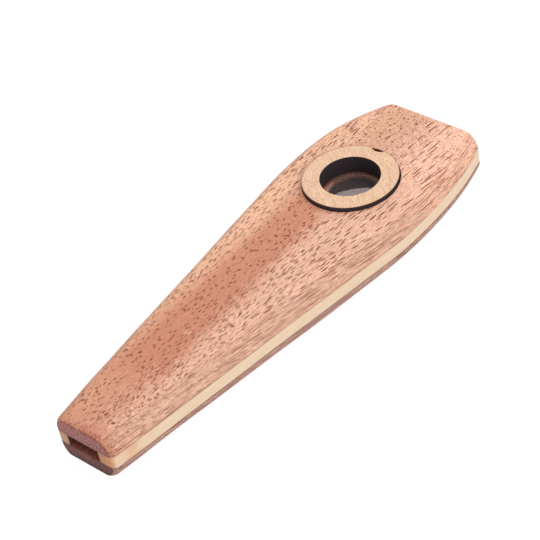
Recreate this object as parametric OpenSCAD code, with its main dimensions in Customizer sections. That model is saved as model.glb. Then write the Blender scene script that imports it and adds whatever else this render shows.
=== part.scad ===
// Laminated wooden kazoo: two rounded face plates glued to a pair of core rails,
// whose gap is the air channel, with a membrane held down by a ring in a stepped seat.
// The kazoo lies on its underside, its mouth end towards -Y and its wide end towards +Y.
// The origin is on the underside, at the centre of the whole kazoo.

/* [Outline] */
// Length from the mouth end to the wide end
body_length = 123; // [110:1:150]
// Width across the mouth end
mouth_width = 17.4; // [14:0.2:24]
// Width across the shoulders, where the straight sides end
shoulder_width = 38.5; // [33:0.5:44]
// Distance from the mouth end to the shoulders
shoulder_distance = 81.8; // [70:0.2:90]
// Width across the wide end
wide_end_width = 31.8; // [26:0.2:36]
// Radius of the four upright corners
corner_radius = 0.8; // [0.4:0.1:2]

/* [Laminate] */
// Thickness of the bottom plate
bottom_thickness = 3.5; // [3.2:0.1:6]
// Thickness of the core rails, which is the height of the air channel
core_thickness = 3; // [2:0.1:5]
// Thickness of the top plate
top_thickness = 4.8; // [4.6:0.1:7]
// Radius of the long upper edges
top_edge_radius = 4.5; // [2:0.1:4.6]
// Radius of the long lower edges
bottom_edge_radius = 3; // [1:0.1:3.2]
// Radius of the edges across both ends
end_edge_radius = 0.5; // [0.3:0.1:1.5]

/* [Air channel] */
// Width of the air channel between the core rails
channel_width = 9.3; // [7:0.1:11]
// Diameter of the round chamber below the membrane
chamber_diameter = 12.8; // [11.5:0.1:16]

/* [Sound hole] */
// Distance from the shoulders to the centre of the sound hole, towards the wide end
hole_past_shoulders = 12.3; // [6:0.1:16]
// Diameter of the hole through the ledge that carries the membrane
ledge_hole_diameter = 12.6; // [10:0.1:14]
// Width of the finger recess in the wall of the ring's seat
recess_width = 5.2; // [2:0.1:7]
// Depth of the finger recess beyond the wall of the seat
recess_depth = 0.7; // [0.3:0.1:1.5]

/* [Membrane ring] */
// Outer diameter of the ring
ring_diameter = 23.5; // [20:0.1:25]
// Diameter of the hole in the ring
ring_bore = 14.7; // [12:0.1:16]
// Thickness of the ring
ring_thickness = 4.6; // [3.6:0.1:5]
// Height of the ring above the top plate
ring_stand = 1.1; // [0.6:0.1:2.5]
// Radius of the eased upper edge of the ring
ring_edge_radius = 0.2; // [0.1:0.05:0.6]
// Gap between the ring and the wall of its seat
ring_clearance = 0.15; // [0.1:0.05:0.4]
// Width of the lifting notch in the edge of the ring
notch_width = 4; // [2:0.1:6]
// Depth of the lifting notch
notch_depth = 1.1; // [0.6:0.1:2]

/* [Membrane] */
// Thickness of the membrane
membrane_thickness = 0.15; // [0.1:0.05:0.4]
// Gap between the membrane and the wall of its seat
membrane_clearance = 0.35; // [0.2:0.05:1]

/* [Hidden] */
$fn = 96;
// Facets of the whole circle that a shoulder arc is part of
shoulder_facets = 720;

// Amount by which every cut runs past the face it opens
overrun = 1;
// Amount by which the arc of a worked edge stands past the faces it meets, at a faint line
round_lift = 0.02;

// Levels of the glue lines, of the upper face and of the ring's seat
lower_glue_z = bottom_thickness;
upper_glue_z = lower_glue_z + core_thickness;
upper_face_z = upper_glue_z + top_thickness;
ring_top_z = upper_face_z + ring_stand;
ring_low_z = ring_top_z - ring_thickness;
ledge_z = ring_low_z - membrane_thickness;

// Places along the length
mouth_y = -body_length / 2;
wide_end_y = body_length / 2;
shoulder_y = mouth_y + shoulder_distance;
hole_y = shoulder_y + hole_past_shoulders;

// Half widths, and the angle at which the straight sides spread
mouth_x = mouth_width / 2;
shoulder_x = shoulder_width / 2;
wide_end_x = wide_end_width / 2;
spread_angle = atan2(shoulder_x - mouth_x, shoulder_distance);
side_length = norm([shoulder_x - mouth_x, shoulder_distance]);

// Past the shoulder each side is an arc, tangent to its straight stretch,
// which ends at the corner of the wide end
inward = [-cos(spread_angle), sin(spread_angle)];
arc_chord = [wide_end_x - shoulder_x, wide_end_y - shoulder_y];
arc_radius = (arc_chord * arc_chord) / (2 * (arc_chord * inward));
arc_centre = [shoulder_x, shoulder_y] + arc_radius * inward;
widest_x = arc_centre.x + arc_radius;
section_reach = widest_x + overrun;
arc_sweep = spread_angle + atan2(wide_end_y + overrun - arc_centre.y, -arc_centre.x);

// Centres of the arcs that round the upright corners of the right side
corner_inset = corner_radius - round_lift;
mouth_corner = [
    mouth_x + corner_inset * (tan(spread_angle) - 1 / cos(spread_angle)),
    mouth_y + corner_inset
];
wide_corner_y = wide_end_y - corner_inset;
wide_corner_angle = asin((wide_corner_y - arc_centre.y) / (arc_radius - corner_inset));
wide_corner = [arc_centre.x + (arc_radius - corner_inset) * cos(wide_corner_angle), wide_corner_y];

// Height of the arc that a chord of the given width cuts from a circle
function arc_height(radius, width) = radius - sqrt(pow(radius, 2) - pow(width / 2, 2));
// Radius of the circle in which a chord of the given width cuts an arc of the given height
function chord_radius(width, height) = (pow(width / 2, 2) + pow(height, 2)) / (2 * height);

// The notch is a round cut that opens to its full width on the ring's edge
ring_radius = ring_diameter / 2;
notch_radius = chord_radius(notch_width, notch_depth - arc_height(ring_radius, notch_width));
notch_centre = ring_radius - notch_depth + notch_radius;

// The seat is a running fit round the ring, and the recess is a round cut in its wall
seat_radius = ring_radius + ring_clearance;
recess_radius = chord_radius(recess_width, recess_depth + arc_height(seat_radius, recess_width));
recess_centre = seat_radius + recess_depth - recess_radius;
membrane_radius = seat_radius - membrane_clearance;

mahogany = [0.78, 0.55, 0.44];
maple = [0.93, 0.82, 0.65];
film = [0.85, 0.86, 0.88, 0.5];

// A shape and its mirror image across the kazoo's middle plane
module both_sides() {
    children();
    mirror([1, 0, 0]) children();
}

// Section of what rounding an edge removes; the edge is at the origin, the wood below left of it
module edge_waste(radius, lift = 0) {
    difference() {
        translate([-radius, -radius]) square(radius + overrun);
        translate([lift - radius, lift - radius]) circle(radius);
    }
}

// Section across one side of a layer, from its wall at x = 0 inwards, its upper edge rounded
module layer_section(thickness, radius) {
    difference() {
        translate([-section_reach, -thickness]) square([section_reach, thickness]);
        if (radius > 0) edge_waste(radius);
    }
}

// A section carried along the right side: straight from the shoulder to the mouth end,
// and round the shoulder arc to past the wide end
module along_side() {
    translate([shoulder_x, shoulder_y, 0])
        rotate([0, 0, -spread_angle]) {
            rotate([90, 0, 0])
                linear_extrude(side_length + mouth_x)
                    children();
            translate([-arc_radius, 0, 0])
                rotate_extrude(angle = arc_sweep, $fn = shoulder_facets)
                    translate([arc_radius, 0])
                        children();
        }
}

// What rounding an upright corner removes, between two directions from the arc's centre
module corner_waste(centre, from_angle, to_angle) {
    reach = corner_radius + overrun;
    opening = (to_angle - from_angle) / 2;
    from = reach * [cos(from_angle), sin(from_angle)];
    middle = reach / cos(opening) * [cos(from_angle + opening), sin(from_angle + opening)];
    to = reach * [cos(to_angle), sin(to_angle)];
    translate(centre) difference() {
        polygon([[0, 0], from, middle, to]);
        circle(corner_radius);
    }
}

// What easing the upper edges of the mouth end and the wide end removes
module end_waste(radius) {
    for (side = [0, 1])
        mirror([0, side, 0])
            translate([-widest_x, wide_end_y, 0])
                rotate([90, 0, 90])
                    linear_extrude(2 * widest_x)
                        edge_waste(radius, round_lift);
}

// One layer of the laminate, from z = 0 down to minus its thickness, rounded above
module layer(thickness, side_radius = 0, end_radius = 0) {
    difference() {
        both_sides()
            intersection() {
                along_side() layer_section(thickness, side_radius);
                translate([0, mouth_y, -thickness - overrun])
                    cube([section_reach, body_length, thickness + 2 * overrun]);
            }
        translate([0, 0, -thickness - overrun])
            linear_extrude(thickness + 2 * overrun)
                both_sides() {
                    corner_waste(mouth_corner, -90, -spread_angle);
                    corner_waste(wide_corner, wide_corner_angle, 90);
                }
        if (end_radius > 0) end_waste(end_radius);
    }
}

module bottom_plate() {
    color(mahogany)
        mirror([0, 0, 1])
            layer(bottom_thickness, bottom_edge_radius, end_edge_radius);
}

// Rail on the right of the air channel, cut out where the chamber is
module core_rail() {
    difference() {
        translate([0, 0, upper_glue_z]) layer(core_thickness);
        translate([-widest_x, mouth_y - overrun, lower_glue_z - overrun])
            cube([widest_x + channel_width / 2, body_length + 2 * overrun, core_thickness + 2 * overrun]);
        translate([0, hole_y, lower_glue_z - overrun])
            cylinder(h = core_thickness + 2 * overrun, d = chamber_diameter);
    }
}

module left_rail() {
    color(maple) mirror([1, 0, 0]) core_rail();
}

module right_rail() {
    color(maple) core_rail();
}

// The plate has a wide seat for the ring, with a finger recess behind the ring's notch,
// and a narrower hole through the ledge below
module top_plate() {
    color(mahogany)
        difference() {
            translate([0, 0, upper_face_z])
                layer(top_thickness, top_edge_radius, end_edge_radius);
            translate([0, hole_y, ledge_z])
                cylinder(h = upper_face_z - ledge_z + overrun, r = seat_radius);
            translate([0, hole_y + recess_centre, ledge_z])
                cylinder(h = upper_face_z - ledge_z + overrun, r = recess_radius);
            translate([0, hole_y, upper_glue_z - overrun])
                cylinder(h = top_thickness + 2 * overrun, d = ledge_hole_diameter);
        }
}

module membrane() {
    color(film)
        translate([0, hole_y, ledge_z])
            cylinder(h = membrane_thickness, r = membrane_radius);
}

// The ring is a turned section with an eased upper edge, notched towards the wide end
module membrane_ring() {
    color(maple)
        translate([0, hole_y, ring_low_z])
            difference() {
                rotate_extrude()
                    difference() {
                        translate([ring_bore / 2, 0])
                            square([ring_radius - ring_bore / 2, ring_thickness]);
                        translate([ring_radius, ring_thickness]) edge_waste(ring_edge_radius);
                    }
                translate([0, notch_centre, -overrun])
                    cylinder(h = ring_thickness + 2 * overrun, r = notch_radius);
            }
}

bottom_plate();
left_rail();
right_rail();
top_plate();
membrane();
membrane_ring();
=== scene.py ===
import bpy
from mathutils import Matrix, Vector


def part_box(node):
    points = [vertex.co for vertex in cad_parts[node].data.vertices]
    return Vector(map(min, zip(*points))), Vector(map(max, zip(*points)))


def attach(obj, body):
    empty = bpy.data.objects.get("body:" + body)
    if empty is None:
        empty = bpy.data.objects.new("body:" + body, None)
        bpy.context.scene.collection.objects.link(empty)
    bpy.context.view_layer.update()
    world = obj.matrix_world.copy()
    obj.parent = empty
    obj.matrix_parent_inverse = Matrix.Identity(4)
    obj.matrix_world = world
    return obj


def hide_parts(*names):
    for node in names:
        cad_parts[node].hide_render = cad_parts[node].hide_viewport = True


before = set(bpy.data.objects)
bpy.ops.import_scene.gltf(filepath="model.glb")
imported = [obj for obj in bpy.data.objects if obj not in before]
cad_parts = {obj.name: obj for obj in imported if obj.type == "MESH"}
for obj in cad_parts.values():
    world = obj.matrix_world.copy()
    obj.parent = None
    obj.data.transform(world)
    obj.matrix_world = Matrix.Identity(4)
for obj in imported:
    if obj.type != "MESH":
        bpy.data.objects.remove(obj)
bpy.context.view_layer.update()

from types import SimpleNamespace

import bpy
import numpy as np
from mathutils import Matrix, Vector

bl_info = {
    "name": "Laminated wooden kazoo",
    "version": (1, 0, 0),
    "blender": (4, 5, 0),
    "location": "3D View > Sidebar > Kazoo",
    "description": "Plates, core rails, ring and membrane of a wooden kazoo, around its solid frame",
    "category": "Object",
}

MM = 0.001


def level(node, end):
    """Height in metres of a solid's lowest (0) or highest (1) face."""
    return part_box(node)[end].z


# Depth by which the core shows beyond its glue lines, whose broken edges are pale
GLUE_BREAK = 0.1 * MM
LOWER_GLUE = level("bottom_plate", 1) - GLUE_BREAK
UPPER_GLUE = level("top_plate", 0) + GLUE_BREAK
UPPER_FACE = level("top_plate", 1)
LEDGE = level("membrane", 0)
RING_LOW = level("membrane_ring", 0)
RING_TOP = level("membrane_ring", 1)
RING_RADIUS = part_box("membrane_ring")[1].x
HALF_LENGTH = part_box("top_plate")[1].y
FILM_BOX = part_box("membrane")
FILM_RADIUS = FILM_BOX[1].x
HOLE_Y = (FILM_BOX[0].y + FILM_BOX[1].y) / 2


def length(name, default, about):
    """A size of the kazoo, in metres."""
    return bpy.props.FloatProperty(name=name, default=default, description=about, min=0, precision=5,
                                   subtype="DISTANCE", unit="LENGTH")


def angle(name, default, about):
    """A direction in plan, given in degrees."""
    return bpy.props.FloatProperty(name=name, default=np.radians(default), description=about,
                                   subtype="ANGLE", unit="ROTATION")


def shade(red, green, blue):
    """A colour given as 0 to 255 on a screen, as the linear values that a shader uses."""
    v = np.array([red, green, blue]) / 255
    return tuple(np.where(v <= 0.04045, v / 12.92, ((v + 0.055) / 1.055) ** 2.4).tolist())


def colour(name, default, about):
    """A colour of the kazoo."""
    return bpy.props.FloatVectorProperty(name=name, default=shade(*default), description=about,
                                         min=0, max=1, size=3, subtype="COLOR")


class KazooSizes(bpy.types.PropertyGroup):
    mouth_width: length("Mouth width", 17.4 * MM, "Width across the mouth end")
    shoulder_width: length("Shoulder width", 38.5 * MM, "Width where the straight sides end")
    shoulder_distance: length("Shoulder distance", 81.8 * MM, "From the mouth end to the shoulders")
    wide_end_width: length("Wide end width", 31.8 * MM, "Width across the wide end")
    top_radius: length("Upper edge radius", 4.5 * MM, "Radius of the long upper edges")
    bottom_radius: length("Lower edge radius", 3 * MM, "Radius of the long lower edges")
    mouth_radius: length("Mouth edge radius", 1.2 * MM, "Radius of the edge across the mouth end")
    wide_radius: length("Wide end's edge radius", 0.5 * MM, "Radius of the edges across the wide end")
    eased: length("Eased edge", 0.07 * MM, "Width by which plates' and rails' edges are broken")
    rim: length("Seat's rim", 0.03 * MM, "Width by which the seat's edge is broken")
    sanded: length("Sanded corner", 2.7 * MM, "Wood sanded off the left corner of the wide end")
    sanded_length: length("Sanded length", 17.5 * MM, "Length of the left side that is sanded there")
    off_centre: length("Offset", 0.22 * MM, "How far the outline lies to the right of the channel")
    channel_width: length("Channel width", 9.3 * MM, "Width of the air channel")
    chamber_radius: length("Chamber radius", 6.4 * MM, "Radius of the chamber below the membrane")
    ledge_hole_radius: length("Ledge hole radius", 6.3 * MM, "Radius of the hole through the ledge")
    seat_radius: length("Seat radius", 11.9 * MM, "Radius of the ring's seat")
    ring_bore_radius: length("Ring bore radius", 7.35 * MM, "Radius of the hole in the ring")
    ring_eased: length("Ring's eased edge", 0.1 * MM, "Radius of the ring's edges")
    ring_aside: length("Ring's place", 0.12 * MM, "How far the ring lies to the left in its seat")
    ring_tilt: length("Ring tilt", 0.15 * MM, "Height of the ring's left edge above its middle")
    notch_width: length("Notch width", 4 * MM, "Width of the lifting notch")
    notch_depth: length("Notch depth", 1.1 * MM, "Depth of the lifting notch")
    notch_angle: angle("Notch angle", 91.7, "Direction of the notch from the hole's middle")
    recess_width: length("Recess width", 7 * MM, "Width of the finger recess in the seat's wall")
    recess_depth: length("Recess depth", 0.8 * MM, "Depth of the finger recess")
    recess_angle: angle("Recess angle", 98, "Direction of the recess from the hole's middle")
    film_thickness: length("Film thickness", 0.04 * MM, "Thickness of the membrane")
    film_swell: length("Film swell", 0.11 * MM, "Height of the low bulge in the film's middle")
    film_sag: length("Film sag", 0.04 * MM, "Depth of the dish that the film makes in its hole")


class KazooColours(bpy.types.PropertyGroup):
    pale: colour("Pale mahogany", (238, 185, 158), "The outer stripes of the top plate")
    pale_left: colour("Pale mahogany on the left", (245, 190, 156), "The top plate's left outer stripe")
    red: colour("Red mahogany", (208, 138, 107), "The dark band along the top plate")
    figure: colour("Cross figure", (243, 206, 186), "Faint light patches across the grain")
    under: colour("Bottom mahogany", (222, 176, 158), "The bottom plate")
    pore: colour("Pores", (122, 32, 14), "The open pores, and the line above the mouth end")
    end_grain: colour("Top plate's end grain", (179, 118, 112), "The ends of the top plate")
    under_end: colour("Bottom plate's end grain", (122, 76, 72), "The ends of the bottom plate")
    rust: colour("Rusty wear", (196, 108, 74), "Wear at the mouth end, specks and the recess")
    glue: colour("Glue line", (112, 68, 54), "The thin line between two layers")
    # Heat marks on the rails' channel walls and the ring's rim; on the plates' faces in the channel the
    # same colour is painted shade
    heat_mark_and_channel_shade: colour("Scorched wood", (142, 80, 66), "The floor, ceiling and walls of the channel")
    chamber: colour("Chamber", (70, 60, 62), "The sooty walls and floor below the membrane")
    maple: colour("Maple", (238, 211, 182), "The core rails")
    maple_warm: colour("Warm maple", (212, 150, 104), "Warmer patches and the rails' mouth ends")
    ring: colour("Ring face", (243, 203, 167), "The face of the ring")
    ring_line: colour("Ring grain", (208, 156, 116), "Grain lines on the ring and flecks in maple")
    burnt: colour("Burnt edge", (40, 36, 40), "Walls that were cut by heat")
    ledge: colour("Ledge", (184, 126, 106), "The wood of the ledge below the ring")
    film: colour("Film", (240, 216, 216), "The tint of the membrane's reflections")


# Outline of the laminate, in which side is 1 on the right and -1 on the left

# Radii of the upright corners, by side and by end (-1 is the mouth end, 1 the wide end)
CORNER = {(1, -1): 1.6 * MM, (-1, -1): 1.7 * MM, (1, 1): 0.6 * MM, (-1, 1): 0.9 * MM}
# Numbers of points along half of an end, round a corner and along a side
END_STEPS, CORNER_STEPS, SIDE_STEPS = 10, 7, 170

# The hand's work on the outline, in millimetres. Waves along both sides: height, length of one
# radian, and the radians by which they are shifted on a side
WAVES = ((0.03, 4.1, 2), (0.03, 9.3, 1))
# Swells of each side, or hollows below 0: height, and a bell curve's middle and spread
SWELLS = {1: ((0.16, 18.5, 14),), -1: ((-0.36, 18.5, 14), (0.17, -49, 5), (-0.2, -9, 10))}
# What each side gains, or loses below 0: amount, start and end of its growth, and its power
TAPERS = {1: ((0.25, 33, 61.5, 2),), -1: ((-0.2, 0, -61.5, 2), (-0.12, -54, -61.5, 1))}
# The wide end: where its wood starts to be moved, how far it is moved out, and its slope across
WIDE_START, WIDE_OUT, WIDE_SLOPE = 50 * MM, 0.2 * MM, 0.023


def bell(y, middle, spread):
    """A bell curve: 1 at the middle, and about a third of that at the spread on either side."""
    return np.exp(-((y - middle) / spread) ** 2)


def ramp(y, start, end):
    """0 up to the start, 1 past the end and even between them. The end may be the lower of the two."""
    return np.clip((y - start) / (end - start), 0, 1)


def half_width(s, y, side):
    """Half width at y. Straight from the mouth end to the shoulder, then the arc that is tangent there
    and ends at the corner of the wide end. The hand's work is added: the outline's offset, waves,
    swells and tapers, and on the left what is sanded off, which grows with the distance's square."""
    mouth, shoulder, wide = s.mouth_width / 2, s.shoulder_width / 2, s.wide_end_width / 2
    shoulder_y = s.shoulder_distance - HALF_LENGTH
    slope = (shoulder - mouth) / s.shoulder_distance
    inward = np.array([-1, slope]) / np.hypot(1, slope)
    chord = np.array([wide - shoulder, HALF_LENGTH - shoulder_y])
    radius = chord @ chord / (2 * (chord @ inward))
    centre = np.array([shoulder, shoulder_y]) + radius * inward
    straight = mouth + slope * (y + HALF_LENGTH)
    arc = centre[0] + np.sqrt(np.maximum(radius ** 2 - (y - centre[1]) ** 2, 0))
    width = np.where(y > shoulder_y, arc, straight) + side * s.off_centre
    for height, radian, shift in WAVES:
        width = width + height * MM * np.sin(y / MM / radian + shift * side)
    for height, middle, spread in SWELLS[side]:
        width = width + height * MM * bell(y / MM, middle, spread)
    for gain, start, end, power in TAPERS[side]:
        width = width + gain * MM * ramp(y / MM, start, end) ** power
    if side < 0:
        width = width - s.sanded * ramp(y, HALF_LENGTH - s.sanded_length, HALF_LENGTH) ** 2
    return width


def slant(s, y, side):
    """Angle of the side's tangent from the length, from a short central difference."""
    step = 0.2 * MM
    rise = half_width(s, y + step, side) - half_width(s, y - step, side)
    return np.arctan(rise / (2 * step))


def worn(y):
    """Share by which the bottom plate's rounded edge is wider at y than its size: above 0 near the
    mouth end, and below 0 around the middle."""
    return 0.24 * bell(y, -47 * MM, 8 * MM) - 0.33 * bell(y, 0, 22 * MM)


def skewed(x, y):
    """Place along the length after the wide end is moved out and turned: y gains a length there and
    loses a share of x."""
    return y + (WIDE_OUT - WIDE_SLOPE * x) * ramp(y, WIDE_START, HALF_LENGTH)


def half_outline(s, side, side_inset, mouth_inset, wide_inset, wear=0):
    """One side of the outline at a level, from the middle of the mouth end to the middle of the wide
    end: the end's line, an arc about a centre that lies a corner's radius inside both lines, the
    side's curve set in along its normal, a second arc and the other end's line. With wear 1 the
    side's inset follows the worn edge."""
    arcs = {}
    for end, end_inset in ((-1, mouth_inset), (1, wide_inset)):
        radius = CORNER[side, end]
        y = end * (HALF_LENGTH - end_inset - radius)
        tilt = float(slant(s, y, side))
        inset = side_inset * (1 + wear * worn(y)) + radius
        x = float(half_width(s, y, side)) - inset / np.cos(tilt)
        turn = np.linspace(*sorted((-tilt, end * np.pi / 2)), CORNER_STEPS)
        arcs[end] = np.stack([x + radius * np.cos(turn), y + radius * np.sin(turn)], -1)
    near, far = arcs[-1], arcs[1]
    even = np.linspace(0, 1, END_STEPS)[:-1, None]
    y = np.linspace(near[-1, 1], far[0, 1], SIDE_STEPS)[1:-1]
    inset = side_inset * (1 + wear * worn(y)) / np.cos(slant(s, y, side))
    half = np.concatenate([
        even * near[0] * [1, 0] + [0, near[0, 1]],
        near,
        np.stack([half_width(s, y, side) - inset, y], -1),
        far,
        (1 - even[1:]) * far[-1] * [1, 0] + [0, far[-1, 1]],
        [[0, far[-1, 1]]],
    ]) * [side, 1]
    return np.stack([half[:, 0], skewed(*half.T)], -1)


def outline(s, *insets):
    """The whole outline at a level: up the right side and back down the left, counter-clockwise."""
    right, left = half_outline(s, 1, *insets), half_outline(s, -1, *insets)
    return np.concatenate([right, left[-2:0:-1]])


def raised(plan, z):
    """Points of a plan at one height."""
    return np.concatenate([plan, np.full((len(plan), 1), z)], -1)


def raised_ring(angles, radius, z):
    """Points about the hole's middle at a radius that may change with the angle, at one height."""
    radius = np.broadcast_to(radius, angles.shape)
    x, y = radius * np.cos(angles), HOLE_Y + radius * np.sin(angles)
    return np.stack([x, y, np.full_like(angles, z)], -1)


# Meshes. A row at a bare distance inside a flat face only keeps the face flat up to its edge

# Edges that turn by more than this are drawn sharp
SHARP = np.radians(35)
# An eased edge, as shares of its width: how far each point lies in from the edge on either face
EASED_EDGE = ((2, 0), (0.6, 0.6), (0, 2))
EASED_GLUE_EDGE = ((1, 0), (0.3, 0.3), (0, 1))
# Numbers of levels of a rounded edge below and above the start of the mouth end's rounding
KNEE_STEPS, TURN_STEPS = 7, 14
# Share of the depth by which the bottom plate's mouth end leans out
MOUTH_LEAN = 0.08
# Numbers of stations round the chamber, and of points round an edge of a rail
BOW_STEPS, RAIL_EDGE_STEPS = 49, 4
# Numbers of points round the ring, and round one of its edges
RING_STEPS, RING_EDGE_STEPS = 720, 5
# Numbers of points round the film, and of its rings inside the ledge's hole and on the ledge
FILM_STEPS, FREE_RINGS, LEDGE_RINGS = 240, 26, 8
# The film's bulge spreads this far, and its creases are this high
SWELL_SPREAD, CREASE = 2.2 * MM, 0.001 * MM


def closed_mesh(name, rows, around_rows=False):
    """A closed mesh from rows of points, each row a closed loop with as many points as the next.
    With around_rows the last row joins the first, as on a ring; otherwise the first and last rows
    are closed by a fan about their middle. The faces are turned outwards by the sign of the volume."""
    rows = np.asarray(rows, float)
    count, loop = rows.shape[:2]
    points = rows.reshape(-1, 3)
    index = np.arange(count * loop).reshape(count, loop)
    following = np.roll(index, -1, 1)
    triangles = np.zeros((0, 3), int)
    if around_rows:
        lower, upper = index, np.roll(index, -1, 0)
        lower_next, upper_next = following, np.roll(following, -1, 0)
    else:
        lower, upper = index[:-1], index[1:]
        lower_next, upper_next = following[:-1], following[1:]
        points = np.concatenate([points, rows[0].mean(0)[None], rows[-1].mean(0)[None]])
        first, last = np.full(loop, len(points) - 2), np.full(loop, len(points) - 1)
        triangles = np.concatenate([np.stack([first, following[0], index[0]], -1),
                                    np.stack([last, index[-1], following[-1]], -1)])
    quads = np.stack([lower, lower_next, upper_next, upper], -1).reshape(-1, 4)
    halves = np.concatenate([quads[:, [0, 1, 2]], quads[:, [0, 2, 3]], triangles])
    a, b, c = points[halves[:, 0]], points[halves[:, 1]], points[halves[:, 2]]
    if np.einsum("ij,ij->i", a, np.cross(b, c)).sum() < 0:
        quads, triangles = quads[:, ::-1], triangles[:, ::-1]
    corners = np.concatenate([quads.ravel(), triangles.ravel()])
    sizes = np.concatenate([np.full(len(quads), 4), np.full(len(triangles), 3)])
    starts = np.concatenate([[0], np.cumsum(sizes)[:-1]])
    mesh = bpy.data.meshes.new(name)
    mesh.vertices.add(len(points))
    mesh.vertices.foreach_set("co", points.astype(np.float32).ravel())
    mesh.loops.add(len(corners))
    mesh.loops.foreach_set("vertex_index", corners.astype(np.int32))
    mesh.polygons.add(len(sizes))
    mesh.polygons.foreach_set("loop_start", starts.astype(np.int32))
    mesh.polygons.foreach_set("use_smooth", np.ones(len(sizes), bool))
    mesh.update(calc_edges=True)
    mesh.set_sharp_from_angle(angle=SHARP)
    return mesh


def add_piece(name, mesh, finish, body, node):
    """Puts a mesh into the scene as a piece that stands for one solid of the frame."""
    piece = bpy.data.objects.new(name, mesh)
    bpy.context.scene.collection.objects.link(piece)
    mesh.materials.append(finish)
    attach(piece, body)
    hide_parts(node)


def hole_angles(s):
    """Angles round the hole for the points of the outline: halfway between the direction in which each
    point lies from the hole and an even spread, so that the rows neither cross nor bunch up."""
    edge = outline(s, s.top_radius, s.mouth_radius, s.wide_radius)
    seen = np.unwrap(np.arctan2(edge[:, 1] - HOLE_Y, edge[:, 0]))
    even = seen[0] + 2 * np.pi * np.arange(len(edge)) / len(edge)
    return (seen + even) / 2


def edge_levels(s, side_radius, mouth_radius, thickness):
    """Insets from the side, the mouth end and the wide end, and the height, for each level of a plate's
    edge from its glue line to its face: an eased corner, a short wall, then the long edge's quarter
    circle. The ends' own quarter circles are smaller, so the levels near the face are closer."""
    knee = np.arcsin((side_radius - mouth_radius) / side_radius)
    turn = np.concatenate([np.linspace(0, knee, KNEE_STEPS)[:-1],
                           np.linspace(knee, np.pi / 2, TURN_STEPS)])
    height = thickness - side_radius + side_radius * np.sin(turn)
    insets = [side_radius * (1 - np.cos(turn))]
    for radius in (mouth_radius, s.wide_radius):
        rise = np.maximum(height - thickness + radius, 0)
        insets.append(radius - np.sqrt(np.maximum(radius ** 2 - rise ** 2, 0)))
    eased = [(share * s.eased,) * 3 + (up * s.eased,) for share, up in EASED_GLUE_EDGE]
    return eased + list(zip(*insets, height))


def round_cut(width, depth, radius, outwards):
    """Radius and centre distance of a round cut in a circle's edge: its arc has the given depth and meets
    the circle where the opening has the given width. It is cut outwards, or inwards from the edge."""
    side = 1 if outwards else -1
    height = depth + side * (radius - np.sqrt(radius ** 2 - (width / 2) ** 2))
    cut = ((width / 2) ** 2 + height ** 2) / (2 * height)
    return cut, radius + side * (depth - cut)


def seat_line(s, angles, radius, z):
    """The seat's wall at one height: the circle of the seat, and the far side of the recess's circle
    wherever a ray from the hole's middle leaves that circle further out."""
    cut, centre = round_cut(s.recess_width, s.recess_depth, s.seat_radius, True)
    cut = cut + radius - s.seat_radius
    across = centre * np.sin(angles - s.recess_angle)
    along = centre * np.cos(angles - s.recess_angle)
    far = np.where(along > 0, along + np.sqrt(np.maximum(cut ** 2 - across ** 2, 0)), 0)
    return raised_ring(angles, np.maximum(radius, np.where(np.abs(across) < cut, far, 0)), z)


def top_plate_mesh(s):
    """The top plate is one loop of levels carried round the hole and the outline: up the ledge's hole,
    over the ledge, up the seat's wall, out over the face, down the rounded edge and back below."""
    angles = hole_angles(s)
    e, rim, web, seat = s.eased, s.rim, s.ledge_hole_radius, s.seat_radius

    def ring(radius, z):
        return raised_ring(angles, radius, z)

    def wall(radius, z):
        return seat_line(s, angles, radius, z)

    def edge(z, *insets):
        return raised(outline(s, *insets), z)

    rows = [ring(web + out * e, UPPER_GLUE + up * e) for out, up in EASED_EDGE]
    rows += [ring(web, UPPER_GLUE + 0.5 * MM)]
    rows += [ring(web + out * e, LEDGE - down * e) for out, down in reversed(EASED_EDGE)]
    rows += [ring(web + 0.6 * MM, LEDGE), wall(seat - e, LEDGE), wall(seat, LEDGE + e)]
    rows += [wall(seat + out * rim, UPPER_FACE - down * rim) for out, down in reversed(EASED_EDGE)]
    rows += [wall(seat + 0.3 * MM, UPPER_FACE), ring(seat + 1.2 * MM, UPPER_FACE)]
    rows += [edge(UPPER_FACE, s.top_radius + 0.8 * MM, 2.4 * MM, 1.2 * MM)]
    levels = edge_levels(s, s.top_radius, s.mouth_radius, UPPER_FACE - UPPER_GLUE)
    rows += [edge(UPPER_GLUE + up, *insets) for *insets, up in reversed(levels)]
    rows += [edge(UPPER_GLUE, 0.6 * MM, 0.6 * MM, 0.6 * MM), ring(web + 1 * MM, UPPER_GLUE)]
    return closed_mesh("top_plate_wood", rows, around_rows=True)


def bottom_plate_mesh(s):
    """The bottom plate's levels: its upper face outwards, the eased glue line, the worn edge downwards,
    with a mouth end that leans out as it goes down, and the underside back to the middle."""

    def edge(z, side, mouth, wide, wear=0):
        return raised(outline(s, side, mouth, wide, wear), z)

    rows = [edge(LOWER_GLUE, inset, inset, inset) for inset in (6 * MM, 2 * MM, 0.5 * MM)]
    for side, mouth, wide, depth in edge_levels(s, s.bottom_radius, s.wide_radius, LOWER_GLUE):
        rows.append(edge(LOWER_GLUE - depth, side, mouth - MOUTH_LEAN * depth, wide, 1))
    for inset in (s.bottom_radius + 0.7 * MM, s.bottom_radius + 3 * MM):
        rows.append(edge(0, inset, inset, inset))
    return closed_mesh("bottom_plate_wood", rows)


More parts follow.
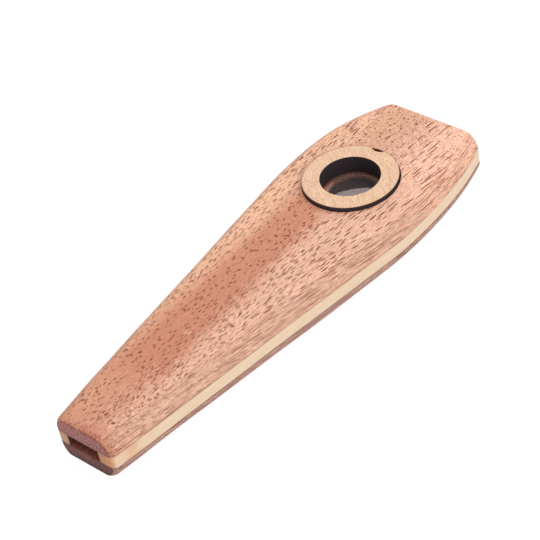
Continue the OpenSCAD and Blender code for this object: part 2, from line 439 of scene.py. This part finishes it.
def rail_mesh(s, side, name):
    """A core rail: at each station along the length a rectangle with eased corners, from the channel's
    wall (which swings out round the chamber) to the outline, with the outline's corner arcs
    at both ends. The first and last are smaller by the eased width, which eases the ends' edges."""
    half = half_outline(s, side, 0, 0, 0) * [side, 1]
    outer = half[END_STEPS - 1:-(END_STEPS - 1)]
    wall, e = s.channel_width / 2, s.eased
    reach = np.sqrt(s.chamber_radius ** 2 - wall ** 2)
    bow = np.linspace(-reach, reach, BOW_STEPS)
    beside = np.array([-1, 1]) * (reach + 0.03 * MM)
    stations = np.unique(np.concatenate([outer[:, 1], HOLE_Y + bow, HOLE_Y + beside]))
    outside = np.interp(stations, outer[:, 1], outer[:, 0])
    swing = np.sqrt(np.maximum(s.chamber_radius ** 2 - (stations - HOLE_Y) ** 2, 0))
    inside = np.maximum(wall, swing)
    turn = np.linspace(0, np.pi / 2, RAIL_EDGE_STEPS)

    def section(x_in, x_out, y, radius):
        """A rectangle with rounded corners, counter-clockwise, all four corners at once."""
        corners = ((x_out - e, UPPER_GLUE - e), (x_in + e, UPPER_GLUE - e),
                   (x_in + e, LOWER_GLUE + e), (x_out - e, LOWER_GLUE + e))
        parts = []
        for quarter, (x, z) in enumerate(corners):
            a = turn + quarter * np.pi / 2
            across, up = x + radius * np.cos(a), z + radius * np.sin(a)
            parts.append(np.stack([across, np.full_like(a, y), up], -1))
        return np.concatenate(parts)

    radii = np.full(len(stations), e)
    radii[[0, -1]] = 0
    rows = [section(*values) for values in zip(inside, outside, stations, radii)]
    return closed_mesh(name, np.array(rows) * [side, 1, 1])


def ring_mesh(s):
    """The ring: a rectangle with eased corners turned about the hole's middle. The outer radius is cut
    by the notch's circle wherever a ray from the middle meets that circle first. The ring lies a
    little to the left in its seat, and its face tilts: the height falls in proportion to x."""
    angles = np.linspace(0, 2 * np.pi, RING_STEPS, endpoint=False)
    notch, away = round_cut(s.notch_width, s.notch_depth, RING_RADIUS, False)
    across = away * np.sin(angles - s.notch_angle)
    along = away * np.cos(angles - s.notch_angle)
    first = along - np.sqrt(np.maximum(notch ** 2 - across ** 2, 0))
    meets = (np.abs(across) < notch) & (along > 0)
    outer = np.where(meets, np.minimum(RING_RADIUS, first), RING_RADIUS)
    bore, e = s.ring_bore_radius, s.ring_eased
    turn = np.linspace(0, np.pi / 2, RING_EDGE_STEPS)

    def corner(radius, z, quarter):
        """Rows round one corner of the rectangle, a quarter turn each."""
        return [raised_ring(angles, radius + e * np.cos(a), z + e * np.sin(a))
                for a in turn + quarter * np.pi / 2]

    rows = corner(outer - e, RING_TOP - e, 0)
    rows += [raised_ring(angles, radius, RING_TOP) for radius in (outer - 0.5 * MM, bore + 0.5 * MM)]
    rows += corner(bore + e, RING_TOP - e, 1)
    rows += corner(bore + e, RING_LOW + e, 2)
    rows += corner(outer - e, RING_LOW + e, 3)
    rows = np.array(rows)
    upper = rows[..., 2] > (RING_TOP + RING_LOW) / 2
    rows[..., 2] -= np.where(upper, rows[..., 0] / RING_RADIUS * s.ring_tilt, 0)
    rows[..., 0] -= s.ring_aside
    return closed_mesh("ring_wood", rows, around_rows=True)


def film_mesh(s):
    """The membrane: a thin disc on the ledge. Inside the ledge's hole its height is a shallow dish,
    which falls with one minus the square of the radius, plus a low bell curve in the middle and
    faint radial creases. Its lower side lies a quarter of its thickness above the ledge."""
    angles = np.linspace(0, 2 * np.pi, FILM_STEPS, endpoint=False)
    web = s.ledge_hole_radius
    radii = np.concatenate([np.linspace(0.3 * MM, web, FREE_RINGS),
                            np.linspace(web, FILM_RADIUS, LEDGE_RINGS)[1:]])[:, None]
    free = np.clip(1 - (radii / web) ** 2, 0, 1)
    fade = np.clip(radii / web, 0, 1) ** 3 * np.minimum(free * 4, 1)
    creases = CREASE * (np.sin(7 * angles + 0.6) + 0.6 * np.sin(11 * angles + 2.1))
    middle = LEDGE + 0.75 * s.film_thickness + fade * creases
    middle = middle + s.film_swell * bell(radii, 0, SWELL_SPREAD) - s.film_sag * free
    x, y = radii * np.cos(angles), HOLE_Y + radii * np.sin(angles)
    above = np.stack([x, y, middle + s.film_thickness / 2], -1)
    below = np.stack([x, y, middle - s.film_thickness / 2], -1)
    return closed_mesh("membrane_film", np.concatenate([above, below[::-1]]))


# Materials. Patterns read the place in millimetres, so a factor is a number of cells in a millimetre

# Length of a pore's cell, and the distances from its middle, in cells, over which its edge fades
PORE_LENGTH = 9
PORE_EDGE = (0.37, 0.33)
# Shares of red, green and blue by which the grain changes the mahogany
GRAIN_TINT = (0.4, 0.56, 0.62)
# Cosine and sine of the angle by which the ring's grain turns clockwise from across the kazoo
RING_GRAIN = (0.77, 0.64)
# Number of torn teeth round the ledge's hole
TEETH = 66


def both_ways(operation):
    """The two operators of a wire for one operation: with the wire first, and reflected."""

    def forward(wire, other):
        return wire.join(operation, wire, other)

    def reflected(wire, other):
        return wire.join(operation, other, wire)

    return forward, reflected


class Wire:
    """An output of a node. Arithmetic on it adds Math nodes, or Vector Math nodes on vectors and
    colours."""

    def __init__(self, nodes, socket):
        self.nodes, self.socket = nodes, socket

    def is_vector(self):
        return self.socket.type in ("VECTOR", "RGBA")

    def join(self, operation, first, second):
        """The node for one operation; a number beside a vector stands for all three of its parts."""
        kind = "Math"
        if any(v.is_vector() if isinstance(v, Wire) else isinstance(v, tuple) for v in (first, second)):
            kind = "VectorMath"
            first, second = ((v,) * 3 if isinstance(v, (int, float)) else v for v in (first, second))
        return self.nodes.add(kind, {"operation": operation}, {0: first, 1: second})

    __add__, __radd__ = both_ways("ADD")
    __sub__, __rsub__ = both_ways("SUBTRACT")
    __mul__, __rmul__ = both_ways("MULTIPLY")
    __truediv__, __rtruediv__ = both_ways("DIVIDE")
    __pow__, __rpow__ = both_ways("POWER")

    def __abs__(self):
        return self.nodes.add("Math", {"operation": "ABSOLUTE"}, {0: self})


class Nodes:
    """A node tree, and shorthands for the nodes that the finishes need."""

    def __init__(self, tree):
        self.tree = tree
        tree.nodes.clear()

    def add(self, kind, settings=None, values=None, out=0):
        """Adds any node: its type, its settings, then the values or links of its sockets. Gives one
        output, or a list where out is a tuple of them."""
        node = self.tree.nodes.new("ShaderNode" + kind)
        for key, value in (settings or {}).items():
            setattr(node, key, value)
        for key, value in (values or {}).items():
            socket = node.inputs[key]
            if isinstance(value, Wire):
                self.tree.links.new(value.socket, socket)
            elif isinstance(value, tuple) and socket.type == "RGBA":
                socket.default_value = (*value, 1)
            else:
                socket.default_value = value
        if isinstance(out, tuple):
            return [Wire(self, node.outputs[key]) for key in out]
        return Wire(self, node.outputs[out])

    def blend(self, factor, first, second):
        """Mixes two colours; 6, 7 and 2 are the Mix node's sockets for colours."""
        return self.add("Mix", {"data_type": "RGBA"}, {0: factor, 6: first, 7: second}, 2)

    def ease(self, value, low, high):
        """0 below low, 1 above high and a smooth step between them; low may be the larger."""
        if low > high:
            return 1 - self.ease(value, high, low)
        return self.add("MapRange", {"interpolation_type": "SMOOTHSTEP"}, {0: value, 1: low, 2: high})

    def vector(self, x, y, z):
        """Three numbers as one vector."""
        return self.add("CombineXYZ", None, {0: x, 1: y, 2: z})

    def apart(self, vector):
        """The three numbers of a vector."""
        return self.add("SeparateXYZ", None, {0: vector}, (0, 1, 2))

    def noise(self, x, y, z, detail=1.0, rough=0.5):
        """Smooth noise from 0 to 1."""
        values = {"Vector": self.vector(x, y, z), "Scale": 1.0, "Detail": detail, "Roughness": rough}
        return self.add("TexNoise", None, values)

    def highest(self, first, second):
        """The larger of two numbers."""
        return self.add("Math", {"operation": "MAXIMUM"}, {0: first, 1: second})

    def finish(self, values, height=None, depth=0):
        """The surface shader, with a bump of the given depth, and the material's output."""
        if height is not None:
            bump = {"Strength": 1.0, "Distance": depth, "Height": height}
            values["Normal"] = self.add("Bump", None, bump)
        surface = self.add("BsdfPrincipled", None, values)
        self.add("OutputMaterial", None, {"Surface": surface}, ())


def new_material(name):
    """A material and its empty node tree."""
    material = bpy.data.materials.new(name)
    material.use_nodes = True
    return material, Nodes(material.node_tree)


def scaled(tone, share):
    """A colour, darkened to a share of itself."""
    return tuple(share * v for v in tone)


def place_and_facing(n):
    """The place on the piece in millimetres, and how far the surface faces along x, y and z."""
    place, normal = n.add("TexCoord", out=("Object", "Normal"))
    return n.apart(place * (1 / MM)), [abs(part) for part in n.apart(normal)]


def hole_distance(n, x, y):
    """Distance from the middle of the sound hole."""
    along = y - HOLE_Y / MM
    return (x * x + along * along) ** 0.5


def pores(n, across, along, deep, dive, size, share):
    """Open pores: thin tubes along the grain, which dives into the wood by a slope. A face cuts them
    as dashes, an end as dots and a worked edge as long streaks. Only a share of them is kept."""
    place = n.vector(across / size, along / PORE_LENGTH, (deep + along * dive) / size)
    distance, tint = n.add("TexVoronoi", {"voronoi_dimensions": "3D"}, {"Vector": place, "Scale": 1.0},
                           ("Distance", "Color"))
    chance, strength, _ = n.apart(tint)
    return n.ease(distance, *PORE_EDGE) * n.ease(chance + share, 1, 1.05) * (strength * 0.3 + 0.7)


def wood(n, top):
    """What a plate's whole finish reads: the place, the grain's own place across (lean) and down
    (deep), its patterns, and masks of the rounded long edges and the ends. On the top plate also a
    wandering place across (side) and a mask of the stretch whose pores are dots (dotted)."""
    (x, y, z), (fx, fy, fz) = place_and_facing(n)
    waver = n.noise(x * 0.03, y * 0.012, z * 0.03 + (0 if top else 4), 2.0)
    lean = x - y * (0.04 + 0.004 * x) + (waver - 0.5) * 4
    deep = z + (0 if top else 40)
    w = SimpleNamespace(
        x=x, y=y, z=z, fy=fy, fz=fz, lean=lean, deep=deep,
        fibre=n.noise(lean * 4, y * 0.5, deep * 4, 1.0, 0.6),
        fleck=n.noise(lean * 3 + y * 0.4, y * 0.8, z * 3),
        silk=n.noise(lean * 2.4, y * 0.08, deep * 2.4),
        figure=n.noise(lean * 0.25, y * 0.35, deep * 0.25, 3.0, 0.6),
        mottle=n.noise(x * 3, y * 2.4, z * 3),
        rounded=n.ease(fx, 0.25, 0.6),
        ends=n.ease(fy, 0.89, 0.94),
        from_hole=hole_distance(n, x, y),
        glue_z=(UPPER_GLUE if top else LOWER_GLUE) / MM,
    )
    if top:
        w.side = x + (n.noise(x * 0.03, y * 0.05, 3.0, 2.0) - 0.5) * 4
        uneven = w.side + w.figure * 2
        w.dotted = n.ease(uneven, 3, 1) * n.ease(uneven, -9, -7)
    return w


def pore_mask(n, w, top):
    """All pores of a plate: long ones, which give way to dots on the top plate's dotted stretch, thin
    lines on the rounded long edges, and fine ones towards the wide end."""
    crowd = n.noise(w.lean * 0.35, w.y * 0.05, w.deep * 0.35 + 7, 2.0)
    fewer = n.ease(w.y, 30, 56) * 0.16 + n.ease(w.y, -36, -56) * n.ease(w.x, 6, 0) * 0.12
    dive = 0.21 - w.y * 0.001 - 0.05 * n.ease(w.x, 4, 13)
    holes = pores(n, w.lean, w.y, w.deep, dive, 0.42, 0.76 + (crowd - 0.5) * 1.5 - fewer)
    if top:
        dots = pores(n, w.lean, w.y, w.deep, 0.4, 0.54, 0.45 - n.ease(w.y, 34, 46) * 0.13)
        holes = holes + (dots - holes) * w.dotted
    lines = n.noise(w.z * 7 + w.y * 0.1, w.y * 0.1, w.x * 0.4, 1.0, 0.6)
    lines = w.rounded * n.ease(lines, 0.59, 0.65) * 0.75
    fine = pores(n, w.lean, w.y * 1.8, w.deep + 20, 0.2, 0.3, 0.6)
    fine = fine * n.ease(w.y, 24, 44) * (1 - w.rounded) * 0.75
    return n.highest(n.highest(holes * (1 - 0.5 * w.rounded), lines), fine)


def striped(n, w, c):
    """The top plate's colour: a dark band, which fades towards both ends, between pale stripes, a faint
    cross figure, and a painted sheen that makes the right side lighter near the wide end."""
    streak = n.noise(w.lean * 0.45, w.y * 0.015, w.deep * 0.45, 2.0)
    band = n.ease(w.side, -12.5, -5) * n.ease(w.side + w.y * 0.06 + w.figure * 2, 7.2, 1.5)
    band = band * (0.25 + 0.75 * n.ease(w.y, 46, 22)) * (1 - 0.35 * n.ease(w.y, -36, -54))
    tone = n.blend(n.ease(w.side, 4, -6), c.pale, c.pale_left)
    tone = n.blend(band * (0.8 + 0.3 * streak), tone, c.red)
    tone = n.blend(n.ease(w.figure, 0.5, 0.8) * (1 - w.dotted) * 0.4, tone, c.figure)
    # Painted sheen: lighter on the right near the wide end
    return tone * (1 + n.ease(w.y, 28, 44) * (0.21 * n.ease(w.x, 3, 11) - 0.05 * w.dotted))


def grained(n, w, tone, calm):
    """A colour with the grain in it: fibres, flecks, silky streaks and a mottle. The grain is weaker
    where calm is 1, and the rounded edges are a little darker."""
    silky = 0.7 + 0.5 * n.ease(w.x, 5, 14) * n.ease(w.y, 44, 30)
    grain = (w.fibre - 0.5) * 1.5 + (w.fleck - 0.5) * 1.1 + (w.silk - 0.5) * silky
    grain = grain * (1 - 0.4 * calm) + (w.mottle - 0.5) * 1.3
    return tone * (1 + grain * GRAIN_TINT) * (1 - 0.13 * w.rounded)


def with_rust(n, w, tone, c):
    """The top plate's colour with its rusty wear: along the rounded edge of the mouth end, in specks
    beside it, and mottled on the right near the wide end."""
    edge = n.ease(w.y, -59, -61.2) * n.ease(w.x + w.mottle * 6, 1, 6) * 0.45
    spots = n.ease(w.mottle, 0.52, 0.66) * n.ease(w.y, -54, -59.5) * 0.6
    tone = n.blend(n.highest(edge, spots), tone, c.rust)
    far = n.ease(w.x, 12, 15.5) * n.ease(w.y, 34, 46) * n.ease(w.figure + w.mottle, 1.05, 1.3)
    return n.blend(far * 0.35, tone, c.rust)


def with_ends(n, w, tone, c, top):
    """A plate's colour with its speckled end grain. The top plate has a broken dark line above its
    mouth end, and the bottom plate's ends are darker below and have rusty specks."""
    specks = n.noise(w.x * 2.2, w.y * 0.1, w.z * 2.2, 2.0, 0.7)
    light = 0.55 + 0.85 * n.ease(specks, 0.3, 0.7)
    if top:
        line = n.ease(w.fy, 0.8, 0.87) * n.ease(w.fy, 0.95, 0.91) * n.ease(w.y, 0, -10)
        tone = n.blend(w.ends, tone, light * c.end_grain)
        return n.blend(line * n.ease(w.mottle, 0.36, 0.52) * 0.75, tone, c.pore)
    light = light * (0.45 + 0.65 * n.ease(w.z, 0.1, 2.2))
    tone = n.blend(w.ends, tone, light * c.under_end)
    return n.blend(w.ends * n.ease(specks, 0.64, 0.7) * 0.6, tone, c.rust)


def with_channel(n, w, tone, s, c):
    """A plate's colour with its glue line, and with painted shade, a darker striped tone, on the face
    that closes the channel, sooty near the chamber."""
    channel, chamber = s.channel_width / 2 / MM, s.chamber_radius / MM
    from_glue = abs(w.z - w.glue_z)
    line = n.ease(from_glue, 0.2, 0.06) * n.ease(w.from_hole, chamber + 0.6, chamber + 1.6)
    tone = n.blend(line * 0.85, tone, c.glue)
    within = n.ease(HALF_LENGTH / MM - abs(w.y), 0.1, 0.3)
    inside = n.highest(n.ease(abs(w.x), channel + 0.15, channel - 0.05) * within,
                       n.ease(w.from_hole, chamber + 0.3, chamber + 0.1))
    # Painted shade: the plates' faces that close the channel are darkened, with stripes; near the chamber
    # they turn sooty
    channel_shade = inside * n.ease(from_glue, 0.15, 0.08) * n.ease(w.fz, 0.6, 0.9)
    stripes = n.noise(w.x * 4, w.y * 0.12, w.z, 2.0, 0.6)
    tone = n.blend(channel_shade, tone, (0.75 + n.ease(stripes, 0.3, 0.7)) * c.heat_mark_and_channel_shade)
    return n.blend(channel_shade * n.ease(w.from_hole, 16, 9), tone, c.chamber)


def with_seat(n, w, tone, s, c):
    """The top plate's colour with the ring's seat, and a mask of the seat's wall, which is charred and
    rusty in its recess. The ledge has painted shade under the ring and on the far left, and painted
    light on the near left and low in its hole, where charred teeth show the torn wood."""
    web, seat, ledge_z, face_z = s.ledge_hole_radius / MM, s.seat_radius / MM, LEDGE / MM, UPPER_FACE / MM
    direction = n.add("Math", {"operation": "ARCTAN2"}, {0: w.x, 1: w.y - HOLE_Y / MM})
    below = n.ease(w.z, face_z - 0.02, face_z - 0.1) * n.ease(w.from_hole, seat + 1.6, seat + 1.1)
    upright = n.ease(w.fz, 0.7, 0.3)
    wall = below * upright * n.ease(w.z, ledge_z + 0.05, ledge_z + 0.2)
    wave = n.add("Math", {"operation": "SINE"}, {0: direction * (TEETH / 2)})
    torn = n.ease(w.z + n.ease(abs(wave), 0.2, 0.8) * 0.6, w.glue_z + 0.6, w.glue_z + 0.5)
    # Painted shade: the ledge is darker away from its hole, under the ring, and towards the far left
    painted_shade = 1 - 0.55 * n.ease(w.from_hole, web + 0.1, web + 1)
    painted_shade = painted_shade * (1 - 0.4 * n.ease(abs(direction + 0.6), 1.4, 0.5))
    # Painted light: the ledge is lighter on the near left, and low on the hole's wall
    left = 1 + 0.7 * n.ease(direction, -1.3, -1.9)
    low = 1 + 0.6 * upright * n.ease(w.z, ledge_z - 0.2, w.glue_z + 0.3)
    light = (0.6 + 0.7 * n.ease(w.fibre, 0.3, 0.7)) * painted_shade * left * low
    tone = n.blend(below * (1 - wall), tone, light * c.ledge)
    charred = n.highest(wall * n.ease(w.from_hole, seat + 0.1, seat + 0.05), below * upright * torn)
    tone = n.blend(charred, tone, c.burnt)
    return n.blend(wall * n.ease(w.from_hole, seat + 0.05, seat + 0.1), tone, scaled(c.rust, 0.45)), wall


def mahogany(name, s, c, top):
    """Mahogany: fine fibres, open pores along the grain, and ends, glue lines and channel faces of their
    own tones. The top plate is striped and has the charred seat; the bottom plate is spotted."""
    material, n = new_material(name)
    w = wood(n, top)
    holes = pore_mask(n, w, top)
    rough = 0.55 + holes * 0.3
    if top:
        tone = with_rust(n, w, grained(n, w, striped(n, w, c), w.dotted), c)
    else:
        spots = n.ease(w.mottle + w.fleck, 0.85, 1.15)
        tone = grained(n, w, n.blend(spots, c.under, scaled(c.under, 0.6)), 0)
    tone = n.blend(holes * (0.95 - 0.7 * w.ends), with_ends(n, w, tone, c, top), c.pore)
    tone = with_channel(n, w, tone, s, c)
    if top:
        tone, wall = with_seat(n, w, tone, s, c)
        rough = rough + wall * 0.3
    n.finish({"Base Color": tone, "Roughness": rough, "Specular IOR Level": 0.2},
             0.6 - holes + w.fibre * 0.3, 0.05 * MM)
    return material


def maple(name, s, c):
    """Maple rails: pale, with faint long streaks, small flecks, and warmer patches and faces at the
    mouth end. The channel's walls are scorched brown, and the chamber's sooty."""
    material, n = new_material(name)
    (x, y, z), (fx, fy, _) = place_and_facing(n)
    streak = n.noise(x * 2.2, y * 0.06, z * 2.2, 3.0, 0.6)
    patch = n.noise(x * 0.2, y * 0.1, z * 0.3, 2.0)
    fleck = n.noise(x * 4, y * 1.2, z * 4, 2.0)
    smoke = n.noise(x * 1.5, y * 1.5, z * 8, 3.0, 0.6)
    patches = n.ease(patch, 0.5, 0.7) * n.ease(y, -40, -60) * 0.6
    mouth_end = n.ease(fy, 0.35, 1) * (0.78 + 0.22 * n.ease(x, -5, 7)) * n.ease(y, 20, -20)
    tone = n.blend(n.ease(streak, 0.4, 0.8) * 0.25, c.maple, c.maple_warm)
    tone = n.blend(n.highest(patches, mouth_end), tone, (0.92 + 0.22 * n.ease(x, 5, 8)) * c.maple_warm)
    tone = n.blend(n.ease(fleck, 0.58, 0.75) * 0.22, tone, c.ring_line)
    channel, chamber = s.channel_width / 2 / MM, s.chamber_radius / MM
    from_hole = hole_distance(n, x, y)
    wall = n.ease(abs(x), channel + 0.15, channel + 0.05) * n.ease(fx, 0.5, 0.8)
    char = n.highest(wall, n.ease(from_hole, chamber + 0.2, chamber + 0.1))
    tone = n.blend(char, tone, n.blend(n.ease(smoke, 0.3, 0.6) * 0.8, c.burnt, c.heat_mark_and_channel_shade))
    tone = n.blend(char * n.ease(from_hole, 14, 8), tone, c.chamber)
    n.finish({"Base Color": tone, "Roughness": 0.5 + char * 0.3, "IOR": 1.4},
             streak * 0.5 + fleck * 0.4, 0.03 * MM)
    return material


def ring_finish(name, c):
    """The ring: pale face with fine grain lines across it and short flecks, scorched brown along its
    outer edge and burnt nearly black on every wall."""
    material, n = new_material(name)
    (x, y, z), (_, _, fz) = place_and_facing(n)
    cosine, sine = RING_GRAIN
    along = x * cosine - y * sine
    across = x * sine + y * cosine
    bent = across + (n.noise(along * 0.15, across * 0.3, z, 2.0) - 0.5) * 2
    line = n.noise(along * 0.3, bent * 2.6, z * 2, 3.0, 0.6)
    fleck = n.noise(along * 1.3, bent * 4.5, z * 4, 2.0)
    smoke = n.noise(x * 3, y * 3, z * 6, 3.0, 0.6)
    tone = n.blend(n.ease(line, 0.35, 0.7) * 0.6, c.ring, c.ring_line)
    tone = tone * (0.84 + 0.3 * n.ease(fleck, 0.3, 0.7))
    edge = RING_RADIUS / MM
    rim = n.ease(hole_distance(n, x, y), edge - 0.26, edge - 0.14)
    tone = n.blend(rim * 0.6, tone, c.heat_mark_and_channel_shade)
    wall = n.ease(fz, 0.9, 0.6)
    tone = n.blend(wall, tone, n.blend(n.ease(smoke, 0.5, 0.75) * 0.3, c.burnt, c.pore))
    n.finish({"Base Color": tone, "Roughness": 0.55 + wall * 0.25, "IOR": 1.4},
             line * 0.5 + fleck * 0.5, 0.03 * MM)
    return material


def film_finish(name, c):
    """The clear film: a faint mirror over what lies below, with a little haze and a few specks."""
    material, n = new_material(name)
    (x, y, z), _ = place_and_facing(n)
    haze = n.noise(x * 0.8, y * 0.8, z, 3.0, 0.6)
    speck = n.noise(x * 4, y * 4, z)
    n.finish({"Base Color": c.film, "Metallic": 0.6, "Roughness": 0.05 + haze * 0.06,
              "Alpha": 0.09 + n.ease(speck, 0.72, 0.8) * 0.05})
    return material


# Stage. Lengths are in metres, unless a comment says otherwise

# The camera: place, directions of the picture's right side and of sight
CAMERA_PLACE = (0.225066, -0.202393, 0.265959)
CAMERA_RIGHT = (0.75626, 0.6349, -0.15803)
CAMERA_AHEAD = (-0.5641, 0.51037, -0.64909)
# Its lens and sensor in millimetres, and the nearest distance that it sees
CAMERA_LENS, CAMERA_SENSOR, CAMERA_NEAREST = 115.786, 36, 0.01
# Soft panels of light: name, direction from the kazoo, distance, size and radiance
PANELS = (("back_panel", (-0.564, 0.51, 0.649), 0.8, 0.6, 1.6),
          ("side_panel", (0.85, -0.05, 0.5), 0.8, 0.5, 3.6),
          ("top_panel", (0.1, 0.1, 1.0), 0.9, 0.5, 1.2))
# Light of the surroundings on the kazoo; the background that is seen is white
AMBIENT = 0.5
# The floor: half its width, gap below the kazoo, tone, share of white seen in it, and that white
FLOOR_REACH, FLOOR_GAP, FLOOR_TONE, FLOOR_WHITE, FLOOR_GLOW = 3.0, 0.1 * MM, 0.85, 0.9, 1.05


def add_camera(scene):
    """The camera, turned by the matrix of its right, up and backward directions."""
    data = bpy.data.cameras.new("camera")
    data.lens, data.sensor_width, data.clip_start = CAMERA_LENS, CAMERA_SENSOR, CAMERA_NEAREST
    camera = bpy.data.objects.new("camera", data)
    scene.collection.objects.link(camera)
    right, ahead = np.array(CAMERA_RIGHT), np.array(CAMERA_AHEAD)
    turn = Matrix((right, np.cross(right, ahead), -ahead)).transposed().to_4x4()
    turn.translation = CAMERA_PLACE
    camera.matrix_world = turn
    scene.camera = camera


def add_panels(scene):
    """Square lights that face the kazoo; their power is radiance times pi times area."""
    for name, direction, distance, size, radiance in PANELS:
        lamp = bpy.data.lights.new(name, "AREA")
        lamp.shape, lamp.size = "SQUARE", size
        lamp.energy = radiance * np.pi * size ** 2
        light = bpy.data.objects.new(name, lamp)
        scene.collection.objects.link(light)
        away = np.array(direction) / np.linalg.norm(direction)
        light.location = away * distance
        light.rotation_mode = "QUATERNION"
        light.rotation_quaternion = Vector(-away).to_track_quat("-Z", "Y")


def seen_share(n):
    """1 for rays that carry what the eye sees: straight, mirrored or through glass."""
    rays = ("Is Camera Ray", "Is Glossy Ray", "Is Transmission Ray")
    straight, mirrored, through = n.add("LightPath", out=rays)
    return n.highest(straight, n.highest(mirrored, through))


def add_background(scene):
    """A white background that lights the kazoo less than it shows."""
    world = bpy.data.worlds.new("studio")
    scene.world = world
    world.use_nodes = True
    n = Nodes(world.node_tree)
    strength = AMBIENT + seen_share(n) * (1 - AMBIENT)
    ground = n.add("Background", None, {"Color": (1.0, 1.0, 1.0), "Strength": strength})
    n.add("OutputWorld", None, {"Surface": ground}, ())


def add_floor(scene):
    """A pale paper floor that is seen nearly white and keeps the kazoo's shadow."""
    reach = FLOOR_REACH
    corners = [(-reach, -reach, 0), (reach, -reach, 0), (reach, reach, 0), (-reach, reach, 0)]
    mesh = bpy.data.meshes.new("floor")
    mesh.from_pydata(corners, [], [(0, 1, 2, 3)])
    floor = bpy.data.objects.new("floor", mesh)
    floor.location.z = -FLOOR_GAP
    scene.collection.objects.link(floor)
    material, n = new_material("floor_paper")
    paper = n.add("BsdfDiffuse", None, {"Color": (FLOOR_TONE,) * 3})
    white = n.add("Emission", None, {"Color": (1.0, 1.0, 1.0), "Strength": FLOOR_GLOW})
    mixed = n.add("MixShader", None, {0: seen_share(n) * FLOOR_WHITE, 1: paper, 2: white})
    n.add("OutputMaterial", None, {"Surface": mixed}, ())
    mesh.materials.append(material)


# Operators

def chosen(context):
    """The sizes, and the colours as plain tuples."""
    group = context.scene.kazoo_colours
    colours = {key: tuple(getattr(group, key)) for key in KazooColours.__annotations__}
    return context.scene.kazoo_sizes, SimpleNamespace(**colours)


class KAZOO_OT_plates(bpy.types.Operator):
    """Make the two mahogany face plates"""
    bl_idname = "kazoo.plates"
    bl_label = "Face plates"

    def execute(self, context):
        s, c = chosen(context)
        add_piece("top_plate_wood", top_plate_mesh(s), mahogany("mahogany_top", s, c, True),
                  "laminated_body", "top_plate")
        add_piece("bottom_plate_wood", bottom_plate_mesh(s), mahogany("mahogany_bottom", s, c, False),
                  "laminated_body", "bottom_plate")
        return {"FINISHED"}


class KAZOO_OT_rails(bpy.types.Operator):
    """Make the two maple core rails"""
    bl_idname = "kazoo.rails"
    bl_label = "Core rails"

    def execute(self, context):
        s, c = chosen(context)
        finish = maple("maple_core", s, c)
        for side, node in ((-1, "left_rail"), (1, "right_rail")):
            name = node + "_wood"
            add_piece(name, rail_mesh(s, side, name), finish, "laminated_body", node)
        return {"FINISHED"}


class KAZOO_OT_membrane(bpy.types.Operator):
    """Make the clear membrane"""
    bl_idname = "kazoo.membrane"
    bl_label = "Membrane"

    def execute(self, context):
        s, c = chosen(context)
        add_piece("membrane_film", film_mesh(s), film_finish("clear_film", c),
                  "membrane", "membrane")
        return {"FINISHED"}


class KAZOO_OT_ring(bpy.types.Operator):
    """Make the ring that holds the membrane down"""
    bl_idname = "kazoo.ring"
    bl_label = "Membrane ring"

    def execute(self, context):
        s, c = chosen(context)
        add_piece("ring_wood", ring_mesh(s), ring_finish("maple_ring", c),
                  "membrane_ring", "membrane_ring")
        return {"FINISHED"}


class KAZOO_OT_stage(bpy.types.Operator):
    """Make the camera, the soft lights, the background and the pale floor"""
    bl_idname = "kazoo.stage"
    bl_label = "Stage"

    def execute(self, context):
        scene = context.scene
        scene.view_settings.view_transform = "Standard"
        add_camera(scene)
        add_panels(scene)
        add_background(scene)
        add_floor(scene)
        return {"FINISHED"}


class KAZOO_PT_panel(bpy.types.Panel):
    """Lists the sizes, the colours and the pieces"""
    bl_idname = "KAZOO_PT_panel"
    bl_label = "Kazoo"
    bl_space_type = "VIEW_3D"
    bl_region_type = "UI"
    bl_category = "Kazoo"

    def draw(self, context):
        for group in (context.scene.kazoo_sizes, context.scene.kazoo_colours):
            box = self.layout.box()
            for key in type(group).__annotations__:
                box.prop(group, key)
        for operator in OPERATORS:
            self.layout.operator(operator.bl_idname)


OPERATORS = (KAZOO_OT_plates, KAZOO_OT_rails, KAZOO_OT_membrane, KAZOO_OT_ring, KAZOO_OT_stage)
CLASSES = (KazooSizes, KazooColours, *OPERATORS, KAZOO_PT_panel)


def register():
    for cls in CLASSES:
        bpy.utils.register_class(cls)
    bpy.types.Scene.kazoo_sizes = bpy.props.PointerProperty(type=KazooSizes)
    bpy.types.Scene.kazoo_colours = bpy.props.PointerProperty(type=KazooColours)


def unregister():
    del bpy.types.Scene.kazoo_colours
    del bpy.types.Scene.kazoo_sizes
    for cls in reversed(CLASSES):
        bpy.utils.unregister_class(cls)


def main():
    register()
    bpy.ops.kazoo.plates()
    bpy.ops.kazoo.rails()
    bpy.ops.kazoo.membrane()
    bpy.ops.kazoo.ring()
    bpy.ops.kazoo.stage()


if __name__ == "__main__":
    main()
